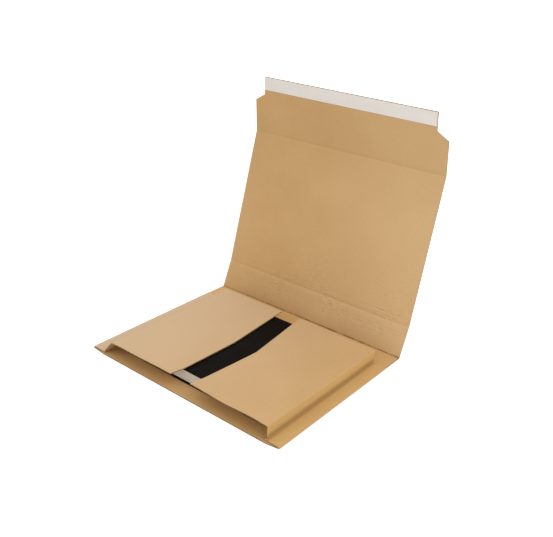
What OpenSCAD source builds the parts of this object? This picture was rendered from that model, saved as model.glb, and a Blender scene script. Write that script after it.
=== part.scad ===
// Book wrap mailer of thin corrugated board, standing open around a hard-cover book.
// Millimetres. The origin is the middle of the base's underside, halfway between the front
// ends of its crash strips and the lid's crease. +Z is up, X runs along the lid's creases
// and +Y points from the open front to the lid.

/* [Board] */
// Thickness of the corrugated board
board_t = 1.6; // [1.2:0.1:2.4]
// Width of the mailer, along the lid's creases
mailer_w = 375; // [360:1:440]
// Depth of the base, from the front ends of its crash strips to the lid's crease
base_d = 297; // [285:1:340]
// How far the base stands out at the front, past those ends
front_lip = 2.7; // [1:0.1:8]

/* [Crash strips] */
// From the base's left edge to the foot of the left wall
left_strip_w = 26.4; // [20:0.2:30]
// From the base's right edge to the foot of the right wall
right_strip_w = 22.5; // [18:0.2:28]
// Air between the base and the strip folded back on it
fold_gap = 0.2; // [0.1:0.05:0.5]

/* [Side walls and flaps] */
// Clear height inside, from the base up to the side flaps
inner_h = 22.4; // [18:0.2:40]
// Lean of the left wall towards the middle, in degrees
left_lean = 41; // [0:1:45]
// Lean of the right wall away from the middle, in degrees
right_lean = 4; // [0:1:10]
// From the front ends of the crash strips to the front of the walls and flaps
flap_front_inset = 1; // [0.5:0.5:10]
// From the lid's crease to the back of the walls and flaps
flap_back_inset = 41.5; // [38:0.5:60]
// Width of the gap between the flaps at its middle bend
gap_w = 44; // [20:1:60]
// Shift of that bend from the base's middle, to the right
gap_shift = 14; // [0:1:20]
// Width of the gap at its front end
gap_front_w = 35.5; // [16:0.5:56]
// Shift of the front end from the base's middle, to the right
gap_front_shift = 5.75; // [0:0.25:12]
// Width of the gap at its back end
gap_back_w = 37.5; // [16:0.5:56]
// Shift of the back end from the base's middle, to the right
gap_back_shift = 0.75; // [0:0.25:12]
// Length of the clipped corner at the front of the left flap, front to back
corner_len = 24; // [10:1:40]
// Width of that clipped corner
corner_w = 8; // [4:1:20]

/* [Lid] */
// Length of the creased spine zone, from the base to the lid
spine_len = 51; // [49:0.5:60]
// Lean of the spine zone away from the base, in degrees from upright
spine_lean = 23.35; // [0:0.5:30]
// Length of the lid, from the spine zone to the seal flap
lid_len = 239; // [200:1:250]
// Lean of the lid away from the base, in degrees from upright
lid_lean = 15.2; // [0:0.5:30]
// Width of a pressed crease line
crease_w = 1.8; // [1:0.1:3]
// Depth of a pressed crease line
crease_depth = 0.35; // [0.1:0.05:0.6]
// Where the first height crease crosses the spine zone, from the base
height_crease_1 = 5; // [4:0.5:10]
// Where the second height crease crosses the spine zone, from the base
height_crease_2 = 33; // [20:0.5:35]
// Where the third height crease crosses the spine zone, from the base
height_crease_3 = 38.5; // [36:0.5:44]
// Where the last height crease crosses the lid, from the spine zone
lid_crease = 12; // [5:1:30]

/* [Seal flap] */
// Length of the seal flap, from the lid to its free end
seal_len = 96.6; // [85:0.5:120]
// Lean of the seal flap towards the base, in degrees from upright
seal_lean = 4.3; // [0:0.5:30]
// Length of its full-width part
seal_shoulder = 55; // [30:1:60]
// Length of the slanted cut from the full width to the lip
seal_cut = 12; // [4:1:18]
// How much narrower the lip is on each side
lip_inset = 20.5; // [5:0.5:40]
// Width of the release liner across the lip
liner_w = 21.5; // [12:0.5:30]
// From the lip's edges to the liner
liner_margin = 0.6; // [0.5:0.1:4]
// Width of the adhesive under the liner
adhesive_w = 19; // [8:0.5:28]
// Thickness of the adhesive
adhesive_t = 0.12; // [0.05:0.01:0.3]
// Thickness of the release liner
liner_t = 0.12; // [0.05:0.01:0.3]

/* [Book] */
// Air between the top of the left wall's crease and the book
book_left_air = 6.3; // [4:0.1:20]
// Air between the foot of the right wall's crease and the book
book_right_air = 6; // [4:0.1:20]
// Depth of the book
book_d = 210; // [150:1:215]
// From the front ends of the crash strips to the front of the book
book_front = 24; // [15:0.5:32]
// Thickness of a cover board
cover_t = 2.6; // [1:0.1:3]
// How far the cover stands out past the pages
cover_overhang = 2; // [1:0.5:4]

/* [Hidden] */
$fn = 48;
kraft = [0.80, 0.64, 0.44];
half_t = board_t / 2;
// How far a cutting shape runs out past what it cuts
cut_past = 1;

// Every crease turns about a round bead as thick as the board, on one of its two panels.
// The other panel starts this far from the bead's middle.
bead_clearance = 0.1;
panel_start = half_t + bead_clearance;
// Inside angle, in degrees, to which the lid's crease at the base folds shut
closed_angle = 33.5;
// The panels on both sides of that crease thin down to it, with a little air when shut
taper_angle = closed_angle / 2 - 0.6;
taper_len = half_t / tan(taper_angle);

front_y = -base_d / 2;
back_y = base_d / 2;
wall_y0 = front_y + flap_front_inset;
wall_y1 = back_y - flap_back_inset;
strip_top = 2 * board_t + fold_gap;
// The wall lies flat on its strip when it is folded out, with this much air below it
wall_air = 0.15;
foot_z = strip_top + wall_air + half_t;
flap_z = board_t + inner_h + half_t;
wall_rise = flap_z - foot_z;
left_foot_x = -mailer_w / 2 + left_strip_w;
left_top_x = left_foot_x + wall_rise * tan(left_lean);
right_foot_x = mailer_w / 2 - right_strip_w;
right_top_x = right_foot_x + wall_rise * tan(right_lean);

hinge_y = back_y - half_t;
spine_angle = 90 - spine_lean;
lid_angle = 90 - lid_lean;
seal_angle = 90 + seal_lean;

book_clearance = 0.3;
book_t = inner_h - book_clearance;
book_x0 = left_top_x + book_left_air;
book_w = right_foot_x - book_right_air - book_x0;
// Width of the book's back, from its outermost line to the pages
book_back = 3;
// How far that back bulges
back_bulge = 2.4;

// Extrudes a cross-section drawn in Y and Z along X
module along_x(width) {
    rotate([90, 0, 90])
        linear_extrude(height = width, center = true)
            children();
}

// Extrudes a cross-section drawn in X and Z along Y, from y0 to y1
module along_y(y0, y1) {
    translate([0, y1, 0])
        rotate([90, 0, 0])
            linear_extrude(height = y1 - y0)
                children();
}

// The round bead of a crease, on the X axis
module bead(width) {
    rotate([0, 90, 0])
        cylinder(h = width, r = half_t, center = true);
}

// A shallow V pressed into the upper face at distance y
function crease(y) = [
    [y + crease_w / 2, half_t],
    [y, half_t - crease_depth],
    [y - crease_w / 2, half_t]
];

// Cross-section of a panel that lies along +Y from y0 to y1, with pressed creases
function panel_outline(y0, y1, creases) = concat(
    [[y0, half_t], [y0, -half_t], [y1, -half_t], [y1, half_t]],
    [for (i = [len(creases) - 1:-1:0]) each crease(creases[i])]
);

// What the taper takes off a panel's upper face near the folding crease
module taper_cut(width) {
    along_x(width + 2 * cut_past)
        polygon([
            [-cut_past, 0],
            [0, 0],
            [taper_len, half_t],
            [taper_len, half_t + cut_past],
            [-cut_past, half_t + cut_past]
        ]);
}

// The board doubled over at the right edge of the base, as a cross-section in X and Z
module strip_section(strip_w) {
    edge_x = mailer_w / 2 - strip_top / 2;
    inner_x = mailer_w / 2 - strip_w - half_t;
    difference() {
        union() {
            translate([inner_x, strip_top - board_t])
                square([edge_x - inner_x, board_t]);
            translate([edge_x, strip_top / 2])
                circle(r = strip_top / 2);
        }
        translate([edge_x - strip_top, board_t])
            square([strip_top, fold_gap]);
        translate([edge_x - strip_top, -cut_past])
            square([strip_top, board_t + cut_past]);
    }
    // the underlying board meets the fold
    translate([edge_x, strip_top / 2])
        intersection() {
            circle(r = strip_top / 2);
            translate([0, -strip_top / 2])
                square([strip_top, strip_top / 2]);
        }
}

// Base panel with the two crash strips, folded from one sheet
module base() {
    flat_half_w = mailer_w / 2 - strip_top / 2;
    color(kraft) {
        difference() {
            union() {
                linear_extrude(height = board_t)
                    polygon([
                        [-flat_half_w, hinge_y],
                        [-flat_half_w, front_y],
                        [left_foot_x, front_y - front_lip],
                        [right_foot_x, front_y - front_lip],
                        [flat_half_w, front_y],
                        [flat_half_w, hinge_y]
                    ]);
                translate([-mailer_w / 2, wall_y1, 0])
                    cube([mailer_w, hinge_y - wall_y1, board_t]);
            }
            translate([0, hinge_y, half_t])
                mirror([0, 1, 0])
                    taper_cut(mailer_w);
        }
        translate([0, hinge_y, half_t])
            bead(mailer_w);
        along_y(front_y, wall_y1)
            strip_section(right_strip_w);
        along_y(front_y, wall_y1)
            mirror([1, 0])
                strip_section(left_strip_w);
    }
}

// Side wall from its foot to its top crease, leaning to +X by lean degrees
module wall(foot_x, lean) {
    wall_len = wall_rise / cos(lean);
    color(kraft)
        translate([foot_x, 0, foot_z])
            rotate([0, lean, 0])
                along_y(wall_y0, wall_y1) {
                    translate([-half_t, 0])
                        square([board_t, wall_len]);
                    circle(r = half_t);
                    translate([0, wall_len])
                        circle(r = half_t);
                }
}

module left_wall() {
    wall(left_foot_x, left_lean);
}

module right_wall() {
    wall(right_foot_x, right_lean);
}

// Top panel of a side, with its inner edge bent where the blanks were nested
module flap(crease_x, inner_edge) {
    color(kraft)
        translate([0, 0, flap_z - half_t])
            linear_extrude(height = board_t)
                polygon(concat(
                    [[crease_x, wall_y1], [crease_x, wall_y0]],
                    inner_edge
                ));
}

module left_flap() {
    front_x = gap_front_shift - gap_front_w / 2;
    flap(left_top_x + panel_start, [
        [front_x - corner_w, wall_y0],
        [front_x, wall_y0 + corner_len],
        [gap_shift - gap_w / 2, (wall_y0 + wall_y1) / 2],
        [gap_back_shift - gap_back_w / 2, wall_y1]
    ]);
}

module right_flap() {
    flap(right_top_x - panel_start, [
        [gap_front_shift + gap_front_w / 2, wall_y0],
        [gap_shift + gap_w / 2, (wall_y0 + wall_y1) / 2],
        [gap_back_shift + gap_back_w / 2, wall_y1]
    ]);
}

// Moves its children from the crease at the base to the crease at the lid
module at_lid() {
    translate([0, hinge_y, half_t])
        rotate([spine_angle, 0, 0])
            translate([0, spine_len, 0])
                rotate([lid_angle - spine_angle, 0, 0])
                    children();
}

// Moves its children on to the crease at the seal flap
module at_seal() {
    at_lid()
        translate([0, lid_len, 0])
            rotate([seal_angle - lid_angle, 0, 0])
                children();
}

// Creased zone that stands up behind the book when the mailer is shut
module spine() {
    color(kraft)
        translate([0, hinge_y, half_t])
            rotate([spine_angle, 0, 0]) {
                difference() {
                    along_x(mailer_w)
                        polygon(panel_outline(
                            panel_start,
                            spine_len,
                            [height_crease_1, height_crease_2, height_crease_3]
                        ));
                    taper_cut(mailer_w);
                }
                translate([0, spine_len, 0])
                    bead(mailer_w);
            }
}

module lid() {
    color(kraft)
        at_lid() {
            along_x(mailer_w)
                polygon(panel_outline(panel_start, lid_len, [lid_crease]));
            translate([0, lid_len, 0])
                bead(mailer_w);
        }
}

module seal_flap() {
    half_w = mailer_w / 2;
    lip_half_w = half_w - lip_inset;
    shoulder_end = seal_shoulder + seal_cut;
    color(kraft)
        at_seal()
            translate([0, 0, -half_t])
                linear_extrude(height = board_t)
                    polygon([
                        [-half_w, panel_start],
                        [half_w, panel_start],
                        [half_w, seal_shoulder],
                        [lip_half_w, shoulder_end],
                        [lip_half_w, seal_len],
                        [-lip_half_w, seal_len],
                        [-lip_half_w, shoulder_end],
                        [-half_w, seal_shoulder]
                    ]);
}

// A flat strip of the given width on the inner face of the lip, level bottom above it
module lip_strip(strip_w, strip_t, level) {
    strip_middle = seal_len - liner_margin - liner_w / 2;
    strip_len = mailer_w - 2 * (lip_inset + liner_margin);
    at_seal()
        translate([-strip_len / 2, strip_middle - strip_w / 2, half_t + level])
            cube([strip_len, strip_w, strip_t]);
}

module adhesive_strip() {
    color([0.93, 0.90, 0.80])
        lip_strip(adhesive_w, adhesive_t, 0);
}

module release_liner() {
    color([0.90, 0.91, 0.93])
        lip_strip(liner_w, liner_t, adhesive_t);
}

// Hard cover: two boards joined by a rounded back at the book's left end
module book_case() {
    book_y0 = front_y + book_front;
    round_r = (pow(book_t / 2, 2) + pow(back_bulge, 2)) / (2 * back_bulge);
    color([0.09, 0.09, 0.10])
        difference() {
            along_y(book_y0, book_y0 + book_d)
                translate([book_x0, board_t]) {
                    translate([book_back, 0])
                        square([book_w - book_back, book_t]);
                    intersection() {
                        translate([round_r, book_t / 2])
                            circle(r = round_r, $fn = 96);
                        square([book_back + cut_past, book_t]);
                    }
                }
            translate([book_x0 + book_back, book_y0 - cut_past, board_t + cover_t])
                cube([book_w, book_d + 2 * cut_past, book_t - 2 * cover_t]);
        }
}

module book_pages() {
    color([0.88, 0.88, 0.87])
        translate([
            book_x0 + book_back,
            front_y + book_front + cover_overhang,
            board_t + cover_t
        ])
            cube([
                book_w - book_back - cover_overhang,
                book_d - 2 * cover_overhang,
                book_t - 2 * cover_t
            ]);
}

base();
left_wall();
left_flap();
right_wall();
right_flap();
spine();
lid();
seal_flap();
adhesive_strip();
release_liner();
book_case();
book_pages();
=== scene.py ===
import math

import bpy
from mathutils import Matrix, Vector


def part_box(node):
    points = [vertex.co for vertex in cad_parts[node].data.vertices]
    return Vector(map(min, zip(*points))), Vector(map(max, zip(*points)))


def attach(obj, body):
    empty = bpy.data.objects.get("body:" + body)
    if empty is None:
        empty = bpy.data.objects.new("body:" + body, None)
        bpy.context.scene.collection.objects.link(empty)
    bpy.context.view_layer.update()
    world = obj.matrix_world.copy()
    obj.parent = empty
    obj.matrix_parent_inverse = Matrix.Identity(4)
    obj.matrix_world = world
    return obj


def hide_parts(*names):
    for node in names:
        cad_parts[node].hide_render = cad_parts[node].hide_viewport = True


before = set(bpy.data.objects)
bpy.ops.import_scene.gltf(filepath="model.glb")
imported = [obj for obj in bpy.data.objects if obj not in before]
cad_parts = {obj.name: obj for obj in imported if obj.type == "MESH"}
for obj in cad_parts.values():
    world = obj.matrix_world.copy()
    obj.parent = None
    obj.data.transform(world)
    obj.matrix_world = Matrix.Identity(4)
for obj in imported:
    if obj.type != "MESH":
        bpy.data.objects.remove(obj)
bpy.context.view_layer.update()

# lengths are in millimetres and angles in degrees where no note says otherwise
mm = 0.001


def colour(red, green, blue):
    # a screen colour from 0 to 255 as the plain light values that nodes take
    values = []
    for part in (red, green, blue):
        part = part / 255
        if part > 0.04045:
            values.append(((part + 0.055) / 1.055) ** 2.4)
        else:
            values.append(part / 12.92)
    return (*values, 1)


class Wire:
    # one output of a node, or the whole tree while it has no socket
    def __init__(self, tree, socket=None):
        self.tree = tree
        self.socket = socket

    def node(self, kind, settings=None, sockets=None, output=0):
        made = self.tree.nodes.new(kind)
        for key, value in (settings or {}).items():
            setattr(made, key, value)
        for key, value in (sockets or {}).items():
            if isinstance(value, Wire):
                self.tree.links.new(value.socket, made.inputs[key])
            else:
                made.inputs[key].default_value = value
        return Wire(self.tree, made.outputs[output])

    def maths(self, operation, first, second=0.0):
        settings = {"operation": operation}
        return self.node("ShaderNodeMath", settings, {0: first, 1: second})

    def __add__(self, other):
        return self.maths("ADD", self, other)

    def __sub__(self, other):
        return self.maths("SUBTRACT", self, other)

    def __mul__(self, other):
        return self.maths("MULTIPLY", self, other)

    def ramp(self, low, high, start=0.0, end=1.0):
        # runs from start to end while this value runs from low to high
        sockets = {0: self, 1: low, 2: high, 3: start, 4: end}
        return self.node("ShaderNodeMapRange", {"interpolation_type": "SMOOTHSTEP"}, sockets)

    def band(self, start, full, last, end):
        # 1 between full and last, fading out to 0 at start and end
        return self.ramp(start, full) * self.ramp(end, last)

    def wave(self, length):
        # a sine along this place in metres, its wave length in millimetres
        return self.maths("SINE", self * (2 * math.pi / (length * mm)))

    def blend(self, first, second):
        # the first colour where this value is 0, the second where it is 1
        sockets = {0: self, 6: first, 7: second}
        return self.node("ShaderNodeMix", {"data_type": "RGBA"}, sockets, 2)

    def scaled(self, x, y, z):
        return self.node("ShaderNodeMapping", None, {"Vector": self, "Scale": (x, y, z)})

    def noise(self, place, scale, detail=2.0, rough=0.5):
        sockets = {"Vector": place, "Scale": scale, "Detail": detail, "Roughness": rough}
        return self.node("ShaderNodeTexNoise", None, sockets)

    def bump(self, strength, deep):
        # this height as a relief, deep in millimetres
        sockets = {"Height": self, "Strength": strength, "Distance": deep * mm}
        return self.node("ShaderNodeBump", None, sockets)

    def sheetPlace(self):
        return self.node("ShaderNodeUVMap", {"uv_map": "sheet"})

    def objectPlace(self):
        objectOutput = 3
        return self.node("ShaderNodeTexCoord", None, None, objectOutput)

    def parts(self):
        # the separate x, y and z of a place
        outputs = self.node("ShaderNodeSeparateXYZ", None, {0: self}).socket.node.outputs
        return [Wire(self.tree, output) for output in outputs]


def newMaterial(name):
    material = bpy.data.materials.new(name)
    material.use_nodes = True
    tree = material.node_tree
    shader = tree.nodes["Principled BSDF"]
    return material, Wire(tree), shader


def connect(wires, shader, links):
    for key, wire in links.items():
        wires.tree.links.new(wire.socket, shader.inputs[key])


# the board; the starts are where each panel begins along the sheet
sheet = {
    "thick": 1.6,
    "liner": 0.25,
    "fluting": 0.2,
    "pitch": 3.2,
    "width": 375.0,
    "cell": 7.0,
    "flutingCell": 32.0,
    "creaseHalf": 0.9,
    "creaseDip": 0.07,
    "underShare": 0.4,
    "foldHalf": 1.3,
    "foldDip": 0.35,
    "rollAbove": 0.35,
    "rollDip": 0.3,
    "rollCell": 10.0,
    "smoothAngle": 38.0,
    "baseStart": 148.5,
    "spineStart": 297.0,
    "lidStart": 348.0,
    "sealStart": 587.0,
}


# tones as on a screen, places along and across the sheet in metres
kraftLook = {
    "pale": (214, 174, 122),
    "deep": (205, 164, 111),
    "fibreDark": (168, 127, 80),
    "fibreLight": (229, 196, 150),
    "paintedSheen": (208, 181, 147),
    "shadeLineTone": (108, 76, 34),
    "paleTone": (236, 205, 158),
    "rough": 0.78,
    "shine": 0.28,
    "sheenSpan": (-0.16, 0.24),
    "paleSpan": (-0.12, 0.22),
    "shadeSpan": (0.50, 0.587),
    "shadeShare": 0.10,
    "darkFibreShare": 0.24,
    "lightFibreShare": 0.22,
    "speckShare": 0.40,
    "stripeShare": 0.03,
    "crackScale": (85.0, 620.0, 1.0),
    "crackSpan": (-0.17, -0.05),
    "lowCracks": (0.312, 0.328, 0.352, 0.372),
    "highCracks": (0.350, 0.365, 0.380, 0.470),
    "highShare": 0.35,
    "lineShare": 0.50,
    "lineDeep": 0.35,
    "scuffShare": 0.45,
    "breakSpan": (-0.18, 0.04),
    "bump": (0.22, 0.12),
}


def kraftFace(
    name, look, tint=(1.0, 1.0, 1.0), cracked=False, paintedSheen=0.0, pale=0.0, shadeLines=()
):
    # outer and inner paper of the board, read along the sheet's own map;
    # a shade line is a painted shadow line (0 across or 1 along, place, half width, strength), in
    # metres
    material, wires, shader = newMaterial(name)
    place = wires.sheetPlace()
    side, along = place.parts()[:2]
    cloud = wires.noise(place, 9.0, 3.0, 0.55)
    mottle = wires.noise(place.scaled(1.0, 0.7, 1.0), 240.0, 3.0, 0.6)
    fibre = wires.noise(place.scaled(0.35, 1.6, 1.0), 1100.0, 3.0, 0.65)
    speck = wires.noise(place.scaled(0.5, 1.3, 1.0), 700.0, 1.0, 0.4)
    stripe = along.wave(sheet["pitch"])

    def tone(key):
        red, green, blue, solid = colour(*look[key])
        return (red * tint[0], green * tint[1], blue * tint[2], solid)

    mix = cloud.ramp(0.3, 0.7) * 0.6 + mottle.ramp(0.3, 0.7) * 0.4
    base = mix.blend(tone("deep"), tone("pale"))
    # painted sheen: the paper turns paler towards the left side of the sheet, as if lit from the
    # left
    if paintedSheen:
        sheen = side.ramp(*look["sheenSpan"], 1.0, 0.0) * paintedSheen
        base = sheen.blend(base, tone("paintedSheen"))
    if pale:
        # lighter towards the right side of the sheet, and darker towards the seal crease as painted
        # shade
        base = (side.ramp(*look["paleSpan"]) * pale).blend(base, tone("paleTone"))
        shade = along.ramp(*look["shadeSpan"]) * look["shadeShare"]
        base = shade.blend(base, tone("fibreDark"))
    base = (fibre.ramp(0.58, 0.80) * look["darkFibreShare"]).blend(base, tone("fibreDark"))
    base = (fibre.ramp(0.42, 0.22) * look["lightFibreShare"]).blend(base, tone("fibreLight"))
    base = (speck.ramp(0.72, 0.79) * look["speckShare"]).blend(base, tone("fibreDark"))
    base = ((stripe * 0.5 + 0.5) * look["stripeShare"]).blend(base, tone("fibreDark"))
    height = fibre * 0.30 + mottle * 0.15 + stripe * 0.20
    if cracked:
        # short broken lines where the board gave way along its flutes
        cracks = wires.noise(place.scaled(*look["crackScale"]), 1.0, 1.0, 0.5)
        patch = wires.noise(place, 17.0, 1.0, 0.5).ramp(0.42, 0.56)
        low = along.band(*look["lowCracks"])
        high = along.band(*look["highCracks"]) * look["highShare"]
        zone = (low + high) * patch * side.ramp(*look["crackSpan"], 0.15, 1.0)
        lines = cracks.ramp(0.60, 0.66) * zone
        base = (lines * look["lineShare"]).blend(base, tone("fibreDark"))
        scuffs = cracks.ramp(0.38, 0.32) * zone
        base = (scuffs * look["scuffShare"]).blend(base, tone("paleTone"))
        height = height - lines * look["lineDeep"]
    lineBreaks = wires.noise(place, 75.0, 3.0, 0.6).ramp(0.36, 0.60, 0.30, 1.0)
    # painted shade lines along folds, creases and cut edges; those along the sheet are broken up by
    # noise and weaker towards the left
    for axis, spot, half, strength in shadeLines:
        away = wires.maths("ABSOLUTE", (along if axis else side) - spot)
        mask = away.ramp(0.0, half, 1.0, 0.0)
        if axis:
            mask = mask * lineBreaks * side.ramp(*look["breakSpan"], 0.45, 1.0)
        base = (mask * strength).blend(base, tone("shadeLineTone"))
    shader.inputs["Specular IOR Level"].default_value = look["shine"]
    roughness = mottle.ramp(0.3, 0.7, look["rough"] - 0.06, look["rough"] + 0.08)
    links = {"Base Color": base, "Roughness": roughness, "Normal": height.bump(*look["bump"])}
    connect(wires, shader, links)
    return material


def kraftCore(name, shades):
    # the fluted middle and the cut edges: a darker brown paper, darkened further as painted shade
    # of the open flutes
    material, wires, shader = newMaterial(name)
    place = wires.objectPlace()
    grain = wires.noise(place, 1400.0, 3.0, 0.7)
    patch = wires.noise(place, 70.0, 2.0, 0.5)
    base = grain.ramp(0.3, 0.7).blend(colour(*shades[0]), colour(*shades[1]))
    base = (patch.ramp(0.4, 0.7) * 0.4).blend(base, colour(*shades[2]))
    shader.inputs["Roughness"].default_value = 0.9
    shader.inputs["Specular IOR Level"].default_value = 0.2
    connect(wires, shader, {"Base Color": base, "Normal": grain.bump(0.35, 0.1)})
    return material


def clearSelection():
    if bpy.context.object and bpy.context.object.mode != "OBJECT":
        bpy.ops.object.mode_set(mode="OBJECT")
    bpy.ops.object.select_all(action="DESELECT")


def activate(piece):
    clearSelection()
    piece.select_set(True)
    bpy.context.view_layer.objects.active = piece


def pickPoints(piece, test):
    activate(piece)
    for face in piece.data.polygons:
        face.select = False
    for edge in piece.data.edges:
        edge.select = False
    for point in piece.data.vertices:
        point.select = test(point.co)
    bpy.ops.object.mode_set(mode="EDIT")
    bpy.ops.mesh.select_mode(type="VERT")


def pickFaces(piece, test):
    activate(piece)
    for point in piece.data.vertices:
        point.select = False
    for edge in piece.data.edges:
        edge.select = False
    for face in piece.data.polygons:
        face.select = test(face.center)
    bpy.ops.object.mode_set(mode="EDIT")
    bpy.ops.mesh.select_mode(type="FACE")


def pickAll(piece):
    activate(piece)
    bpy.ops.object.mode_set(mode="EDIT")
    bpy.ops.mesh.select_all(action="SELECT")


def editDone():
    bpy.ops.object.mode_set(mode="OBJECT")


def movePoints(piece, test, shift):
    # shift in metres
    pickPoints(piece, test)
    bpy.ops.transform.translate(value=shift)
    editDone()


def liftPiece(piece, height):
    # height in metres
    pickAll(piece)
    bpy.ops.transform.translate(value=(0, 0, height))
    editDone()


def applyPlace(piece, rotation=True):
    activate(piece)
    bpy.ops.object.transform_apply(location=True, rotation=rotation, scale=True)


def flatGrid(name, span, reach, columns, rows):
    # a flat grid from span[0] to span[1] along X and reach[0] to reach[1] along Y
    clearSelection()
    middle = ((span[0] + span[1]) / 2 * mm, (reach[0] + reach[1]) / 2 * mm, 0)
    bpy.ops.mesh.primitive_grid_add(
        x_subdivisions=columns, y_subdivisions=rows, size=1, location=middle
    )
    piece = bpy.context.object
    piece.name = name
    piece.scale = ((span[1] - span[0]) * mm, (reach[1] - reach[0]) * mm, 1)
    applyPlace(piece, rotation=False)
    return piece


def cutLine(piece, through, normal):
    pickAll(piece)
    bpy.ops.mesh.bisect(
        plane_co=(through[0] * mm, through[1] * mm, 0), plane_no=(normal[0], normal[1], 0)
    )
    editDone()


def trimOutline(piece, lines, outside):
    # cuts along each line, then takes away the faces that lie outside
    for through, normal in lines:
        cutLine(piece, through, normal)
    pickFaces(piece, lambda middle: outside(middle.x / mm, middle.y / mm))
    bpy.ops.mesh.delete(type="FACE")
    editDone()


def thicken(piece, thickness):
    activate(piece)
    shell = piece.modifiers.new("Paper", "SOLIDIFY")
    shell.thickness = thickness * mm
    shell.offset = 0
    bpy.ops.object.modifier_apply(modifier=shell.name)


def pressLine(piece, place, half, depth, axis=1):
    # a crease pressed into one paper: two edges and a lower middle
    normal = (0, 1) if axis == 1 else (1, 0)
    for step in (-half, 0, half):
        through = (0, place + step) if axis == 1 else (place + step, 0)
        cutLine(piece, through, normal)
    onLine = 0.02
    movePoints(
        piece, lambda point: abs(point[axis] / mm - place) < onLine, (0, 0, -depth * mm)
    )


def dipEdge(piece, place, half, depth):
    # the paper sinks towards a fold at the end of a panel
    cutLine(piece, (0, place + half), (0, 1))
    cutLine(piece, (0, place - half), (0, 1))
    near = half / 2
    movePoints(piece, lambda point: abs(point.y / mm - place) < near, (0, 0, -depth * mm))


def addFluting(name, span, reach, look, creases, lines, outside):
    # the wavy middle paper, its waves running along X
    quarter = look["pitch"] / 4
    rows = max(4, round((reach[1] - reach[0]) / quarter))
    step = (reach[1] - reach[0]) / rows
    columns = max(2, round((span[1] - span[0]) / look["flutingCell"]))
    piece = flatGrid(name, span, reach, columns, rows)
    # smoothing keeps three quarters of a wave's height
    kept = 0.75
    lift = (look["thick"] / 2 - look["liner"] - look["fluting"] / 2) / kept

    def row(point):
        return round((point.y / mm - reach[0]) / step) % 4

    for phase, height in ((1, lift), (3, -lift)):
        movePoints(piece, lambda point: row(point) == phase, (0, 0, height * mm))
    activate(piece)
    smooth = piece.modifiers.new("Waves", "SUBSURF")
    smooth.levels = 1
    smooth.render_levels = 1
    bpy.ops.object.modifier_apply(modifier=smooth.name)
    near = look["creaseHalf"] + 0.5
    flattened = 0.25
    for crease in creases:
        pickPoints(piece, lambda point: abs(point.y / mm - crease) < near)
        bpy.ops.transform.resize(
            value=(1, 1, flattened), center_override=(0, 0, -look["creaseDip"] * mm)
        )
        editDone()
    if lines:
        trimOutline(piece, lines, outside)
    thicken(piece, look["fluting"])
    return piece


def addPaper(name, span, reach, look, side, creases, lines, outside):
    # one of the two flat papers; side is 1 for the upper one
    columns = max(2, round((span[1] - span[0]) / look["cell"]))
    rows = max(2, round((reach[1] - reach[0]) / look["cell"]))
    piece = flatGrid(name, span, reach, columns, rows)
    creaseDip = look["creaseDip"] if side > 0 else look["creaseDip"] * look["underShare"]
    foldDip = look["foldDip"] if side > 0 else 0
    for crease in creases:
        if crease in reach:
            dipEdge(piece, crease, look["foldHalf"], foldDip)
        else:
            pressLine(piece, crease, look["creaseHalf"], creaseDip)
    if lines:
        trimOutline(piece, lines, outside)
    level = (look["thick"] - look["liner"]) / 2
    liftPiece(piece, side * level * mm)
    thicken(piece, look["liner"])
    return piece


def addRoll(name, axis, start, end, place, look):
    # the rounded fold between two panels, pressed in on its inner side;
    # it runs along X where the axis is 0 and along Y where it is 1
    clearSelection()
    length = (end - start) * mm
    bpy.ops.mesh.primitive_cylinder_add(
        vertices=20, radius=look["thick"] / 2 * mm, depth=length, end_fill_type="NGON"
    )
    piece = bpy.context.object
    piece.name = name
    if axis == 0:
        piece.rotation_euler = (0, math.pi / 2, 0)
        piece.location = ((start + end) / 2 * mm, place * mm, 0)
    else:
        piece.rotation_euler = (math.pi / 2, 0, 0)
        piece.location = (place * mm, (start + end) / 2 * mm, 0)
    applyPlace(piece)
    above = look["rollAbove"] * mm
    movePoints(piece, lambda point: point.z > above, (0, 0, -look["rollDip"] * mm))
    count = max(6, round((end - start) / look["rollCell"]))
    for index in range(1, count):
        along = start + (end - start) * index / count
        through = (along, 0) if axis == 0 else (0, along)
        cutLine(piece, through, (1, 0) if axis == 0 else (0, 1))
    return piece


def joinPieces(name, pieces):
    clearSelection()
    for piece in pieces:
        piece.select_set(True)
    bpy.context.view_layer.objects.active = pieces[0]
    bpy.ops.object.join()
    pieces[0].name = name
    pieces[0].data.name = name
    return pieces[0]


def mapSheet(piece, along=0.0):
    # the sheet's own map in metres, taken while the panel lies flat
    layers = piece.data.uv_layers
    if "sheet" not in layers:
        layers.new(name="sheet")
    for other in list(layers):
        if other.name != "sheet":
            layers.remove(other)
    layer = layers["sheet"]
    for loop in piece.data.loops:
        point = piece.data.vertices[loop.vertex_index].co
        layer.data[loop.index].uv = (point.x, point.y + along * mm)


def setMaterial(piece, material):
    piece.data.materials.clear()
    piece.data.materials.append(material)


def boardPanel(
    name, span, reach, faces, creases=(), lines=(), outside=None, rolls=(), along=0.0
):
    # two papers with the fluting between them, and the rolls of its folds;
    # faces are the materials above and under, a roll is (axis, start, end, place),
    # and along is where the panel begins on the sheet
    top = addPaper(name + "Top", span, reach, sheet, 1, creases, lines, outside)
    under = addPaper(name + "Under", span, reach, sheet, -1, creases, lines, outside)
    middle = addFluting(name + "Flutes", span, reach, sheet, creases, lines, outside)
    setMaterial(top, faces[0])
    setMaterial(under, faces[1])
    setMaterial(middle, coreBoard)
    pieces = [top, under, middle]
    for number, (axis, start, end, place) in enumerate(rolls):
        roll = addRoll(name + "Roll" + str(number), axis, start, end, place, sheet)
        setMaterial(roll, faces[1])
        pieces.append(roll)
    for piece in pieces:
        mapSheet(piece, along)
    return joinPieces(name, pieces)


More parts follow.
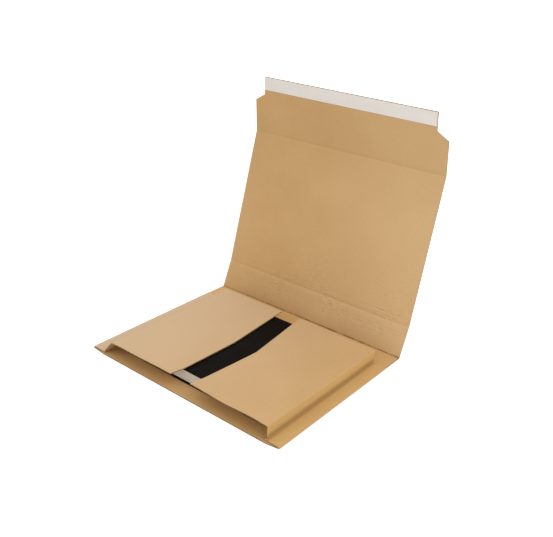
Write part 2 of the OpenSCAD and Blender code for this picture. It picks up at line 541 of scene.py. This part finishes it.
def addCage(place, kind):
    clearSelection()
    bpy.ops.object.add(type="LATTICE", location=place)
    cage = bpy.context.object
    for axis in "uvw":
        setattr(cage.data, "interpolation_type_" + axis, kind)
    return cage


def bendByCage(pieces, cage):
    for piece in pieces:
        activate(piece)
        warp = piece.modifiers.new("Warp", "LATTICE")
        warp.object = cage
        bpy.ops.object.modifier_apply(modifier=warp.name)
    bpy.data.objects.remove(cage)


def warpSheet(pieces, corner, size, turn, heights, slide=None):
    # a cage over pieces in one plane; heights are rows from front to back, left to
    # right, and slide moves the last row along the sheet
    deep = 0.1
    middle = Vector((size[0] / 2, size[1] / 2, 0)) * mm
    spin = Matrix.Rotation(math.radians(turn), 4, "X")
    cage = addCage(Vector(corner) * mm + spin @ middle, "KEY_CARDINAL")
    cage.rotation_euler = (math.radians(turn), 0, 0)
    cage.scale = (size[0] * mm, size[1] * mm, deep)
    across = len(heights[0])
    cage.data.points_u = across
    cage.data.points_v = len(heights)
    cage.data.points_w = 2
    for index, point in enumerate(cage.data.points):
        row = (index // across) % len(heights)
        column = index % across
        point.co_deform.z += heights[row][column] * mm / deep
        if slide and row == len(heights) - 1:
            point.co_deform.y += slide[column] / size[1]
    bendByCage(pieces, cage)


def placePanel(piece, place, turn=0.0, axis="X"):
    activate(piece)
    piece.location = Vector(place) * mm
    angle = math.radians(turn)
    piece.rotation_euler = (angle, 0, 0) if axis == "X" else (0, angle, 0)
    applyPlace(piece)
    bpy.ops.object.shade_smooth_by_angle(angle=math.radians(sheet["smoothAngle"]))


# painted shadow in the fold behind the base, then painted shade along the creases of the spine and
# lid
lidShadeLines = (
    (1, 0.2972, 0.0030, 0.85),
    (1, 0.3022, 0.0009, 0.08),
    (1, 0.3300, 0.0009, 0.14),
    (1, 0.3355, 0.0009, 0.14),
    (1, 0.3480, 0.0011, 0.12),
    (1, 0.3600, 0.0009, 0.12),
)
# inner face: tinted deeper yellow as painted bounce light in shade, with a painted shadow line in
# the fold at the hinge behind the base
faceBoard = kraftFace("kraftFace", kraftLook, (1.0, 0.99, 0.90), shadeLines=((1, 0.2962, 0.0032, 0.85),))
# outer face: darker and deeper yellow as painted shade
backBoard = kraftFace("kraftBack", kraftLook, (0.95, 0.94, 0.90))
# the flap tops carry the painted sheen from the left
sideBoard = kraftFace("kraftSide", kraftLook, paintedSheen=0.75)
# painted light: the left strip paler and greyer as if lit from the left, the right strip deeper and
# yellower as painted shade with bounce light; each carries a painted shade line at the foot of its
# wall
stripBoards = {
    "left": kraftFace(
        "kraftLeftStrip", kraftLook, (0.99, 1.01, 1.05), paintedSheen=0.9,
        shadeLines=((0, -0.1617, 0.0030, 0.22),)
    ),
    "right": kraftFace(
        "kraftRightStrip", kraftLook, (1.03, 1.05, 0.91), shadeLines=((0, 0.1655, 0.0060, 0.42),)
    ),
}
# painted shade along the foot of the right wall, where it meets the strip
footShadeLine = ((0, 0.0, 0.012, 0.42),)
# painted light: the left wall's outer face paler and greyer as if lit from the left, the right
# wall's deeper and yellower as painted shade with bounce light
wallBoards = {
    "left": kraftFace("kraftLeftWall", kraftLook, (0.99, 1.01, 1.05), paintedSheen=1.0),
    "right": kraftFace("kraftRightWall", kraftLook, (1.03, 1.04, 0.89), shadeLines=footShadeLine),
}
coverBoard = kraftFace(
    "kraftCover", kraftLook, (1.0, 0.99, 0.97), cracked=True, pale=0.35, shadeLines=lidShadeLines
)
# painted shade along the crease of the seal flap and on the cut edge at its end
sealShadeLines = ((1, 0.587, 0.0010, 0.10), (1, 0.6836, 0.0014, 0.90))
sealBoard = kraftFace(
    "kraftSeal", kraftLook, (0.99, 0.99, 0.96), pale=0.34, shadeLines=sealShadeLines
)
coreBoard = kraftCore("kraftCore", ((92, 64, 36), (120, 87, 52), (66, 44, 23)))

baseLook = {
    "front": -148.5,
    "lip": 2.7,
    "hinge": 147.7,
    "flatHalf": 185.8,
    "bulge": {-1: 0.0, 1: 1.2},
    "half": 187.5,
    "stripBack": 107.0,
    "stripMiddle": 2.6,
    "foldMiddle": 1.7,
    "leftStrip": 26.4,
    "rightStrip": 22.5,
    "footRound": 1.6,
    "rippleFrom": 0.4,
    "rippleDeep": 0.07,
}


def addRound(name, middle, start, end, radius, vertices):
    # a lying cylinder from start to end along Y, its axis at X middle
    clearSelection()
    bpy.ops.mesh.primitive_cylinder_add(
        vertices=vertices, radius=radius * mm, depth=(end - start) * mm
    )
    piece = bpy.context.object
    piece.name = name
    piece.rotation_euler = (math.pi / 2, 0, 0)
    piece.location = (middle * mm, (start + end) / 2 * mm, 0)
    applyPlace(piece)
    return piece


def addFoldedEdge(name, side, look):
    # the half round where the board turns back on itself, rippled by its flutes
    start = look["front"]
    end = look["stripBack"]
    middle = side * (look["flatHalf"] + look["bulge"][side])
    piece = addRound(name, middle, start, end, look["foldMiddle"], 24)
    count = round((end - start) / (sheet["pitch"] / 2))
    step = (end - start) / count
    for index in range(1, count):
        cutLine(piece, (0, start + step * index), (0, 1))

    def ridge(point):
        outer = (point.x * side / mm - look["flatHalf"]) > look["rippleFrom"]
        return outer and round((point.y / mm - start) / step) % 2 == 1

    movePoints(piece, ridge, (-side * look["rippleDeep"] * mm, 0, 0))
    setMaterial(piece, backBoard)
    mapSheet(piece)
    placePanel(piece, (0, 0, look["foldMiddle"]))
    return piece


def addFootFold(name, inner, look):
    # the outer round of the fold where the strip turns up into the wall
    side = 1 if inner > 0 else -1
    radius = look["footRound"]
    middle = inner + side * radius
    piece = addRound(name, middle, look["front"], look["stripBack"], radius, 28)
    pickAll(piece)
    bpy.ops.mesh.bisect(
        plane_co=(middle * mm, 0, 0), plane_no=(side, 0, 0), clear_outer=True, use_fill=True
    )
    editDone()
    setMaterial(piece, faceBoard)
    mapSheet(piece)
    placePanel(piece, (0, 0, look["stripMiddle"] - sheet["thick"] / 2 + radius))
    return piece


def addBase(look):
    # the base panel, its front lip, and the two side strips folded back on it
    half = look["half"]
    flat = look["flatHalf"]
    front = look["front"]
    lip = look["lip"]
    feet = {-1: half - look["leftStrip"], 1: half - look["rightStrip"]}
    lines = [((flat, 0), (1, 0)), ((-flat, 0), (1, 0)), ((0, look["stripBack"]), (0, 1))]
    for side, foot in feet.items():
        size = math.hypot(lip, flat - foot)
        lines.append(((side * flat, front), (side * lip / size, -(flat - foot) / size)))
        lines.append(((side * foot, 0), (1, 0)))

    def outside(x, y):
        if abs(x) > flat:
            return y < look["stripBack"]
        foot = feet[1 if x > 0 else -1]
        if abs(x) < foot:
            return False
        return y < front - lip * (flat - abs(x)) / (flat - foot)

    panel = boardPanel(
        "basePanel", (-half, half), (front - lip, look["hinge"]), (faceBoard, backBoard),
        creases=(look["hinge"],), lines=lines, outside=outside,
        rolls=((0, -half, half, look["hinge"]),), along=sheet["baseStart"]
    )
    placePanel(panel, (0, 0, sheet["thick"] / 2))
    pieces = [panel]
    strips = (("left", -1, look["leftStrip"]), ("right", 1, look["rightStrip"]))
    for label, side, width in strips:
        inner = side * (half - width - sheet["thick"] / 2)
        start = inner + side * look["footRound"]
        fold = side * (flat + look["bulge"][side])
        span = (min(start, fold), max(start, fold))
        strip = boardPanel(
            label + "Strip", span, (look["front"], look["stripBack"]),
            (stripBoards[label], faceBoard), along=sheet["baseStart"]
        )
        placePanel(strip, (0, 0, look["stripMiddle"]))
        pieces.append(strip)
        pieces.append(addFoldedEdge(label + "Fold", side, look))
        pieces.append(addFootFold(label + "FootFold", inner, look))
    board = joinPieces("baseBoard", pieces)
    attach(board, "base")
    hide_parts("base")
    print("base board done")


sideLook = {
    "front": -147.5,
    "back": 107.0,
    "footLevel": 4.35,
    "flapLevel": 24.8,
    "leftFoot": -161.1,
    "leftTop": -143.323,
    "leftLean": 41.0,
    "rightFoot": 165.0,
    "rightTop": 166.43,
    "rightLean": 4.0,
    "leftEdge": ((-14.0, -147.5), (-9.5, -124.5), (-6.5, -20.25), (-16.5, 107.0)),
    "rightEdge": ((25.7, -147.5), (30.1, -123.0), (37.5, -20.25), (21.0, 107.0)),
    "leftLift": (
        (0.0, 1.0, 0.7, 0.8, 1.4, 1.6, 1.5),
        (0.0, 0.2, 0.3, 0.3, 0.4, 0.6, 0.7),
        (0.0, 0.1, 0.2, 0.2, 0.2, 0.3, 0.4),
        (0.0, 0.1, 0.2, 0.3, 0.3, 0.4, 0.6),
    ),
    "rightLift": (
        (2.6, 1.6, 0.3, -0.4, 0.6, 1.0, 0.0),
        (1.0, 0.8, 0.4, 0.2, 0.4, 0.4, 0.0),
        (0.6, 0.5, 0.3, 0.2, 0.2, 0.2, 0.0),
        (0.8, 0.7, 0.5, 0.3, 0.3, 0.2, 0.0),
    ),
}


def edgeLines(edge):
    # cutting lines along a bent edge
    lines = []
    for (x0, y0), (x1, y1) in zip(edge, edge[1:]):
        size = math.hypot(x1 - x0, y1 - y0)
        lines.append(((x0, y0), ((y1 - y0) / size, (x0 - x1) / size)))
        lines.append(((x1, y1), (0, 1)))
    return lines


def edgeAt(edge, y):
    # where the bent edge lies at this y
    for (x0, y0), (x1, y1) in zip(edge, edge[1:]):
        if y <= y1:
            return x0 + (x1 - x0) * (y - y0) / (y1 - y0)
    return edge[-1][0]


def addWall(label, foot, lean, look):
    # a side wall standing on the strip's fold, leaning by so many degrees
    rise = look["flapLevel"] - look["footLevel"]
    tall = rise / math.cos(math.radians(lean))
    ends = (look["front"], look["back"])
    board = boardPanel(
        label + "WallBoard", (0, tall), ends, (faceBoard, wallBoards[label]),
        rolls=((1, *ends, 0), (1, *ends, tall)), along=sheet["baseStart"]
    )
    placePanel(board, (foot, 0, look["footLevel"]), lean - 90, "Y")
    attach(board, label + "_wall")
    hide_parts(label + "_wall")
    print(label, "wall done")


def addFlap(label, crease, edge, lift, look):
    # a top panel from its crease to its bent edge, lifted a little by its waves
    reach = (look["front"], look["back"])
    inner = [x for x, y in edge]
    if label == "left":
        span = (crease, max(inner))
    else:
        span = (min(inner), crease)
    sign = 1 if label == "left" else -1

    def outside(x, y):
        return sign * (x - edgeAt(edge, y)) > 0

    board = boardPanel(
        label + "FlapBoard", span, reach, (sideBoard, backBoard),
        lines=edgeLines(edge), outside=outside, along=sheet["baseStart"]
    )
    size = (span[1] - span[0], reach[1] - reach[0])
    warpSheet([board], (span[0], reach[0], 0), size, 0, lift)
    placePanel(board, (0, 0, look["flapLevel"]))
    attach(board, label + "_flap")
    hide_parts(label + "_flap")
    print(label, "flap done")


lidLook = {
    "spineHinge": (147.7, 0.8),
    "spineTurn": 66.65,
    "spineLong": 51.0,
    "spineCreases": (5.0, 33.0, 38.5),
    "lidHinge": (167.913, 47.623),
    "lidTurn": 74.8,
    "lidLong": 239.0,
    "lidCreases": (12.0,),
    "sealHinge": (230.576, 278.262),
    "sealTurn": 94.3,
    "sealLong": 96.6,
    "shoulder": 55.0,
    "slant": 12.0,
    "inset": 20.5,
    "twist": (
        (0.0, 0.0, 0.0, 0.0, 0.0),
        (-1.4, -0.6, -0.2, 0.1, 0.4),
        (-2.7, -1.6, -0.6, 0.4, 1.0),
        (-4.0, -2.4, -0.8, 1.0, 2.4),
    ),
    "slide": (1.8, 0.8, -0.3, -1.4, -2.4),
}

linerLook = {
    "half": 166.4,
    "reach": (74.5, 96.0),
    "level": 1.06,
    "thick": 0.06,
    "ripple": 0.16,
    "rippleSize": 0.02,
    "waves": (
        (0.5, 0.0, 0.10, 0.0, 0.06, 0.14, 0.0, 0.08, 0.0, 0.3),
        (0.1, 0.0, 0.02, 0.0, 0.0, 0.04, 0.0, 0.0, 0.0, 0.1),
        (0.2, 0.0, 0.05, 0.0, 0.0, 0.02, 0.0, 0.06, 0.0, 0.5),
    ),
    "shade": (240, 235, 228),
    "shadeLow": (229, 223, 216),
    "fibre": (176, 168, 158),
}


def linerPaper(look):
    material, wires, shader = newMaterial("linerPaper")
    place = wires.sheetPlace()
    cloud = wires.noise(place.scaled(1.0, 2.5, 1.0), 22.0, 3.0, 0.5)
    fibre = wires.noise(place.scaled(0.6, 1.2, 1.0), 1300.0, 2.0, 0.6)
    crinkle = wires.noise(place.scaled(1.0, 0.25, 1.0), 120.0, 2.0, 0.55)
    side = place.parts()[0]
    # painted sheen: the paper turns lighter towards the right end of the strip
    tone = cloud.ramp(0.3, 0.7) * 0.4 + side.ramp(-0.17, 0.17) * 0.6
    base = tone.blend(colour(*look["shadeLow"]), colour(*look["shade"]))
    base = (fibre.ramp(0.6, 0.8) * 0.10).blend(base, colour(*look["fibre"]))
    bump = (crinkle * 0.8 + fibre * 0.12).bump(0.25, 0.15)
    shader.inputs["Specular IOR Level"].default_value = 0.5
    roughness = cloud.ramp(0.3, 0.7, 0.34, 0.46)
    connect(wires, shader, {"Base Color": base, "Roughness": roughness, "Normal": bump})
    return material


def addLiner(look):
    # peel-off paper over the glue, lying a little loose
    reach = look["reach"]
    piece = flatGrid("linerStrip", (-look["half"], look["half"]), reach, 96, 8)
    liftPiece(piece, look["level"] * mm)
    clouds = bpy.data.textures.new("ripples", "CLOUDS")
    clouds.noise_scale = look["rippleSize"]
    ripple = piece.modifiers.new("Ripple", "DISPLACE")
    ripple.texture = clouds
    ripple.texture_coords = "LOCAL"
    ripple.strength = look["ripple"] * mm
    ripple.mid_level = 0.5
    bpy.ops.object.modifier_apply(modifier=ripple.name)
    size = (2 * look["half"], reach[1] - reach[0])
    warpSheet([piece], (-look["half"], reach[0], 0), size, 0, look["waves"])
    mapSheet(piece, sheet["sealStart"])
    thicken(piece, look["thick"])
    setMaterial(piece, linerPaper(look))
    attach(piece, "seal_flap")
    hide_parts("release_liner")
    return piece


glueLook = {
    "half": 166.2,
    "reach": (75.75, 94.75),
    "level": 0.86,
    "thick": 0.12,
    "drawnIn": 0.3,
    "uneven": 0.25,
    "shade": (236, 224, 188),
    "shadeLow": (222, 205, 160),
}


def hotGlue(look):
    material, wires, shader = newMaterial("hotGlue")
    place = wires.sheetPlace()
    drag = wires.noise(place.scaled(0.1, 3.0, 1.0), 300.0, 3.0, 0.6)
    cloud = wires.noise(place, 60.0, 2.0, 0.5)
    base = drag.ramp(0.3, 0.7).blend(colour(*look["shadeLow"]), colour(*look["shade"]))
    bump = (drag + cloud * 0.5).bump(0.4, 0.1)
    roughness = cloud.ramp(0.3, 0.7, 0.22, 0.38)
    connect(wires, shader, {"Base Color": base, "Roughness": roughness, "Normal": bump})
    return material


def addGlue(look):
    # the glue line under the liner, its two long edges a little uneven
    reach = look["reach"]
    piece = flatGrid("glueLine", (-look["half"], look["half"]), reach, 120, 6)
    onEdge = 0.1
    for edge, way in ((reach[0], 1), (reach[1], -1)):
        pickPoints(piece, lambda point: abs(point.y / mm - edge) < onEdge)
        bpy.ops.transform.translate(value=(0, way * look["drawnIn"] * mm, 0))
        bpy.ops.transform.vertex_random(offset=look["uneven"] * mm, uniform=0.0, seed=4)
        editDone()
    pickPoints(piece, lambda point: True)
    bpy.ops.transform.resize(value=(1, 1, 0))
    bpy.ops.transform.translate(value=(0, 0, look["level"] * mm))
    editDone()
    mapSheet(piece, sheet["sealStart"])
    thicken(piece, look["thick"])
    setMaterial(piece, hotGlue(look))
    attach(piece, "seal_flap")
    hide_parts("adhesive_strip")
    return piece


def addLid(look):
    # spine, lid and seal flap with its lip; lid and seal flap are bent as one sheet
    half = sheet["width"] / 2
    span = (-half, half)
    spine = boardPanel(
        "spineBoard", span, (0, look["spineLong"]), (coverBoard, backBoard),
        creases=(0, *look["spineCreases"], look["spineLong"]),
        rolls=((0, *span, look["spineLong"]),), along=sheet["spineStart"]
    )
    placePanel(spine, (0, *look["spineHinge"]), look["spineTurn"])
    lid = boardPanel(
        "lidBoard", span, (0, look["lidLong"]), (coverBoard, backBoard),
        creases=(0, *look["lidCreases"], look["lidLong"]),
        rolls=((0, *span, look["lidLong"]),), along=sheet["lidStart"]
    )
    placePanel(lid, (0, *look["lidHinge"]), look["lidTurn"])
    end = look["shoulder"] + look["slant"]
    lip = half - look["inset"]
    clipped = math.hypot(look["slant"], look["inset"])
    across = (look["slant"] / clipped, look["inset"] / clipped)
    lines = [((0, look["shoulder"]), (0, 1)), ((0, end), (0, 1))]
    for side in (-1, 1):
        lines.append(((side * half, look["shoulder"]), (side * across[0], across[1])))
        lines.append(((side * lip, 0), (1, 0)))

    def outside(x, y):
        if y < look["shoulder"]:
            return False
        if y > end:
            return abs(x) > lip
        return abs(x) > half - look["inset"] * (y - look["shoulder"]) / look["slant"]

    seal = boardPanel(
        "sealBoard", span, (0, look["sealLong"]), (sealBoard, backBoard),
        creases=(0,), lines=lines, outside=outside, along=sheet["sealStart"]
    )
    placePanel(seal, (0, *look["sealHinge"]), look["sealTurn"])
    liner = addLiner(linerLook)
    glue = addGlue(glueLook)
    for piece in (liner, glue):
        placePanel(piece, (0, *look["sealHinge"]), look["sealTurn"])
    corner = (-half, *look["lidHinge"])
    size = (2 * half, look["lidLong"] + look["sealLong"])
    pieces = [lid, seal, liner, glue]
    warpSheet(pieces, corner, size, look["lidTurn"], look["twist"], look["slide"])
    for piece, body in ((spine, "spine"), (lid, "lid"), (seal, "seal_flap")):
        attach(piece, body)
        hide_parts(body)
    print("spine, lid and seal flap done")


view = {
    "place": (0.66227, -0.75733, 0.61349),
    "yaw": 0.676167,
    "pitch": 0.434117,
    "roll": 0.033358,
    "lens": 48.664,
    "sensor": 36,
}


def addCamera(look):
    bpy.ops.object.camera_add(location=look["place"])
    camera = bpy.context.object
    yaw = look["yaw"]
    pitch = look["pitch"]
    ahead = Vector((
        -math.sin(yaw) * math.cos(pitch), math.cos(yaw) * math.cos(pitch), -math.sin(pitch)
    ))
    right = ahead.cross(Vector((0, 0, 1))).normalized()
    up = right.cross(ahead)
    turn = look["roll"]
    side = right * math.cos(turn) + up * math.sin(turn)
    top = up * math.cos(turn) - right * math.sin(turn)
    grid = Matrix((side, top, -ahead)).transposed().to_4x4()
    grid.translation = Vector(look["place"])
    camera.matrix_world = grid
    camera.data.sensor_width = look["sensor"]
    camera.data.lens = look["lens"]
    camera.data.clip_start = 0.01
    bpy.context.scene.camera = camera
    print("camera done")


studio = {
    "sky": 0.86,
    "keyPower": 3.6,
    "keyPlace": (1.05, 0.0, 1.25),
    "keySize": 1.0,
    "fillPower": 12.5,
    "fillPlace": (-1.64, 1.69, 1.04),
    "fillSize": 1.6,
    "aim": (0, 0.05, 0.1),
    "floorSize": 40.0,
    "floorTone": 0.90,
    "floorGlow": 0.45,
    "farGlow": 0.75,
    "glowSpan": (0.3, 3.0),
}


def addLamp(name, place, size, power, aim):
    bpy.ops.object.light_add(type="AREA", location=place)
    lamp = bpy.context.object
    lamp.name = name
    lamp.data.shape = "SQUARE"
    lamp.data.size = size
    lamp.data.energy = power
    ahead = Vector(aim) - Vector(place)
    lamp.rotation_euler = ahead.to_track_quat("-Z", "Y").to_euler()


def seenDirectly(wires):
    # 1 for what the camera sees straight, mirrored or through glass
    outputs = wires.node("ShaderNodeLightPath").socket.node.outputs
    seen = Wire(wires.tree, outputs["Is Camera Ray"]) + Wire(wires.tree, outputs["Is Glossy Ray"])
    return wires.maths("MINIMUM", seen + Wire(wires.tree, outputs["Is Transmission Ray"]), 1.0)


def addStudio(look):
    clearSelection()
    bpy.ops.mesh.primitive_grid_add(x_subdivisions=2, y_subdivisions=2, size=look["floorSize"])
    floor = bpy.context.object
    floor.name = "floor"
    material, wires, shader = newMaterial("floorPaper")
    shader.inputs["Base Color"].default_value = (*[look["floorTone"]] * 3, 1)
    shader.inputs["Roughness"].default_value = 1.0
    shader.inputs["Specular IOR Level"].default_value = 0.0
    shader.inputs["Emission Color"].default_value = (1, 1, 1, 1)
    lengthOutput = 1
    distance = wires.node(
        "ShaderNodeVectorMath", {"operation": "LENGTH"}, {0: wires.objectPlace()}, lengthOutput
    )
    glow = distance.ramp(*look["glowSpan"], look["floorGlow"], look["farGlow"])
    glow = seenDirectly(wires) * glow
    wires.tree.links.new(glow.socket, shader.inputs["Emission Strength"])
    setMaterial(floor, material)
    addLamp("key", look["keyPlace"], look["keySize"], look["keyPower"], look["aim"])
    addLamp("fill", look["fillPlace"], look["fillSize"], look["fillPower"], look["aim"])
    world = bpy.data.worlds.new("sky")
    bpy.context.scene.world = world
    world.use_nodes = True
    tree = world.node_tree
    wires = Wire(tree)
    strength = seenDirectly(wires) * (1 - look["sky"]) + look["sky"]
    tree.nodes["Background"].inputs["Color"].default_value = (1, 1, 1, 1)
    tree.links.new(strength.socket, tree.nodes["Background"].inputs["Strength"])
    bpy.context.scene.view_settings.view_transform = "Standard"
    print("studio done")


bookLook = {
    "board": 2.6,
    "cloth": (12, 9, 6),
    "clothWorn": (21, 17, 13),
    "weave": 0.5,
    "groove": 6.5,
    "grooveHalf": 2.2,
    "grooveDeep": 0.55,
    "backDeep": 2.6,
    "backBulge": 2.4,
    "backReach": 3.0,
    "coverSoft": 0.3,
    "leafSoft": 0.12,
    "leafShort": 0.3,
    "leafShare": 0.985,
    "lean": 2.6,
    "page": (241, 232, 216),
    "pageDark": (207, 197, 180),
    "slip": (0.06, -0.10, 0.02, 0.12, -0.04, 0.08, -0.12, 0.0, 0.10, -0.06, 0.04, -0.02),
}


def bookCloth(look):
    material, wires, shader = newMaterial("bookCloth")
    place = wires.objectPlace()
    warp, weft, rise = [part.wave(look["weave"]) for part in place.parts()]
    slub = wires.noise(place, 420.0, 2.0, 0.6)
    cloud = wires.noise(place, 18.0, 3.0, 0.6)
    weave = warp * weft * 0.5 + rise * 0.2 + slub * 0.5
    base = (weave.ramp(0.1, 0.8) * 0.45).blend(colour(*look["cloth"]), colour(*look["clothWorn"]))
    base = (cloud.ramp(0.5, 0.8) * 0.25).blend(base, colour(*look["clothWorn"]))
    shader.inputs["Specular IOR Level"].default_value = 0.06
    roughness = cloud.ramp(0.3, 0.7, 0.68, 0.82)
    links = {"Base Color": base, "Roughness": roughness, "Normal": weave.bump(0.35, 0.12)}
    connect(wires, shader, links)
    return material


def bookPaper(look):
    material, wires, shader = newMaterial("bookPaper")
    place = wires.objectPlace()
    leaves = wires.noise(place.scaled(0.002, 0.002, 1.0), 7500.0, 1.0, 0.5)
    cloud = wires.noise(place, 30.0, 2.0, 0.5)
    base = leaves.ramp(0.35, 0.65).blend(colour(*look["pageDark"]), colour(*look["page"]))
    base = (cloud.ramp(0.45, 0.7) * 0.2).blend(base, colour(*look["pageDark"]))
    shader.inputs["Roughness"].default_value = 0.75
    shader.inputs["Specular IOR Level"].default_value = 0.3
    connect(wires, shader, {"Base Color": base, "Normal": leaves.bump(0.4, 0.08)})
    return material


def soften(piece, width):
    activate(piece)
    bevel = piece.modifiers.new("Soft", "BEVEL")
    bevel.width = width * mm
    bevel.segments = 2
    bevel.limit_method = "ANGLE"
    cornerAngle = 50
    smoothAngle = 35
    bevel.angle_limit = math.radians(cornerAngle)
    bpy.ops.object.modifier_apply(modifier=bevel.name)
    bpy.ops.object.shade_smooth_by_angle(angle=math.radians(smoothAngle))


def addCoverBoard(name, low, high, side, look):
    # one cover with its joint groove, side 1 for the upper one
    span = (low.x / mm + look["backDeep"], high.x / mm)
    piece = flatGrid(name, span, (low.y / mm, high.y / mm), 30, 22)
    place = low.x / mm + look["groove"]
    pressLine(piece, place, look["grooveHalf"], side * look["grooveDeep"], 0)
    middle = high.z - look["board"] / 2 * mm
    if side < 0:
        middle = low.z + look["board"] / 2 * mm
    liftPiece(piece, middle)
    thicken(piece, look["board"])
    return piece


def addCoverBack(name, low, high, look):
    # the rounded back, a slice of a wide cylinder
    tall = (high.z - low.z) / 2
    bulge = look["backBulge"] * mm
    radius = (tall ** 2 + bulge ** 2) / (2 * bulge)
    start = low.y / mm
    piece = addRound(name, (low.x + radius) / mm, start, high.y / mm, radius / mm, 160)
    liftPiece(piece, (low.z + high.z) / 2)
    cuts = (
        ((low.x + look["backReach"] * mm, 0, 0), (1, 0, 0)),
        ((0, 0, low.z), (0, 0, -1)),
        ((0, 0, high.z), (0, 0, 1)),
    )
    for place, normal in cuts:
        pickAll(piece)
        bpy.ops.mesh.bisect(plane_co=place, plane_no=normal, clear_outer=True, use_fill=True)
        editDone()
    return piece


def addCase(look):
    # the hard cover: two boards and the rounded back
    low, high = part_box("book_case")
    top = addCoverBoard("coverTop", low, high, 1, look)
    under = addCoverBoard("coverUnder", low, high, -1, look)
    case = joinPieces("bookCase", [top, under, addCoverBack("coverBack", low, high, look)])
    setMaterial(case, bookCloth(look))
    soften(case, look["coverSoft"])
    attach(case, "base")
    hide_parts("book_case")
    return case


def addPages(look):
    # the leaves as separate signatures, each slipped a little forward or back
    low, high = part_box("book_pages")
    step = (high.z - low.z) / len(look["slip"])
    middle = (low + high) / 2
    stack = []
    for number, slip in enumerate(look["slip"]):
        clearSelection()
        place = (middle.x, middle.y + slip * mm, low.z + step * (number + 0.5))
        bpy.ops.mesh.primitive_cube_add(size=1, location=place)
        leaf = bpy.context.object
        leaf.name = "leaves" + str(number)
        long = high.y - low.y - look["leafShort"] * mm
        leaf.scale = (high.x - low.x, long, step * look["leafShare"])
        applyPlace(leaf, rotation=False)
        pickAll(leaf)
        bpy.ops.mesh.subdivide(number_cuts=5)
        editDone()
        soften(leaf, look["leafSoft"])
        stack.append(leaf)
    pages = joinPieces("bookPages", stack)
    setMaterial(pages, bookPaper(look))
    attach(pages, "base")
    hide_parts("book_pages")
    return pages


def leanBack(pieces, shift):
    # the book has slid a little: its upper cover lies further back than the lower
    low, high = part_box("book_case")
    cage = addCage((low + high) / 2, "KEY_LINEAR")
    cage.scale = high - low
    for point in cage.data.points:
        if point.co.z > 0:
            point.co_deform.y += shift * mm / cage.scale.y
    bendByCage(pieces, cage)


def addBook(look):
    case = addCase(look)
    pages = addPages(look)
    leanBack([case, pages], look["lean"])
    print("book done")


addCamera(view)
addStudio(studio)
addBase(baseLook)
addWall("left", sideLook["leftFoot"], sideLook["leftLean"], sideLook)
addWall("right", sideLook["rightFoot"], sideLook["rightLean"], sideLook)
addFlap("left", sideLook["leftTop"], sideLook["leftEdge"], sideLook["leftLift"], sideLook)
addFlap("right", sideLook["rightTop"], sideLook["rightEdge"], sideLook["rightLift"], sideLook)
addLid(lidLook)
addBook(bookLook)
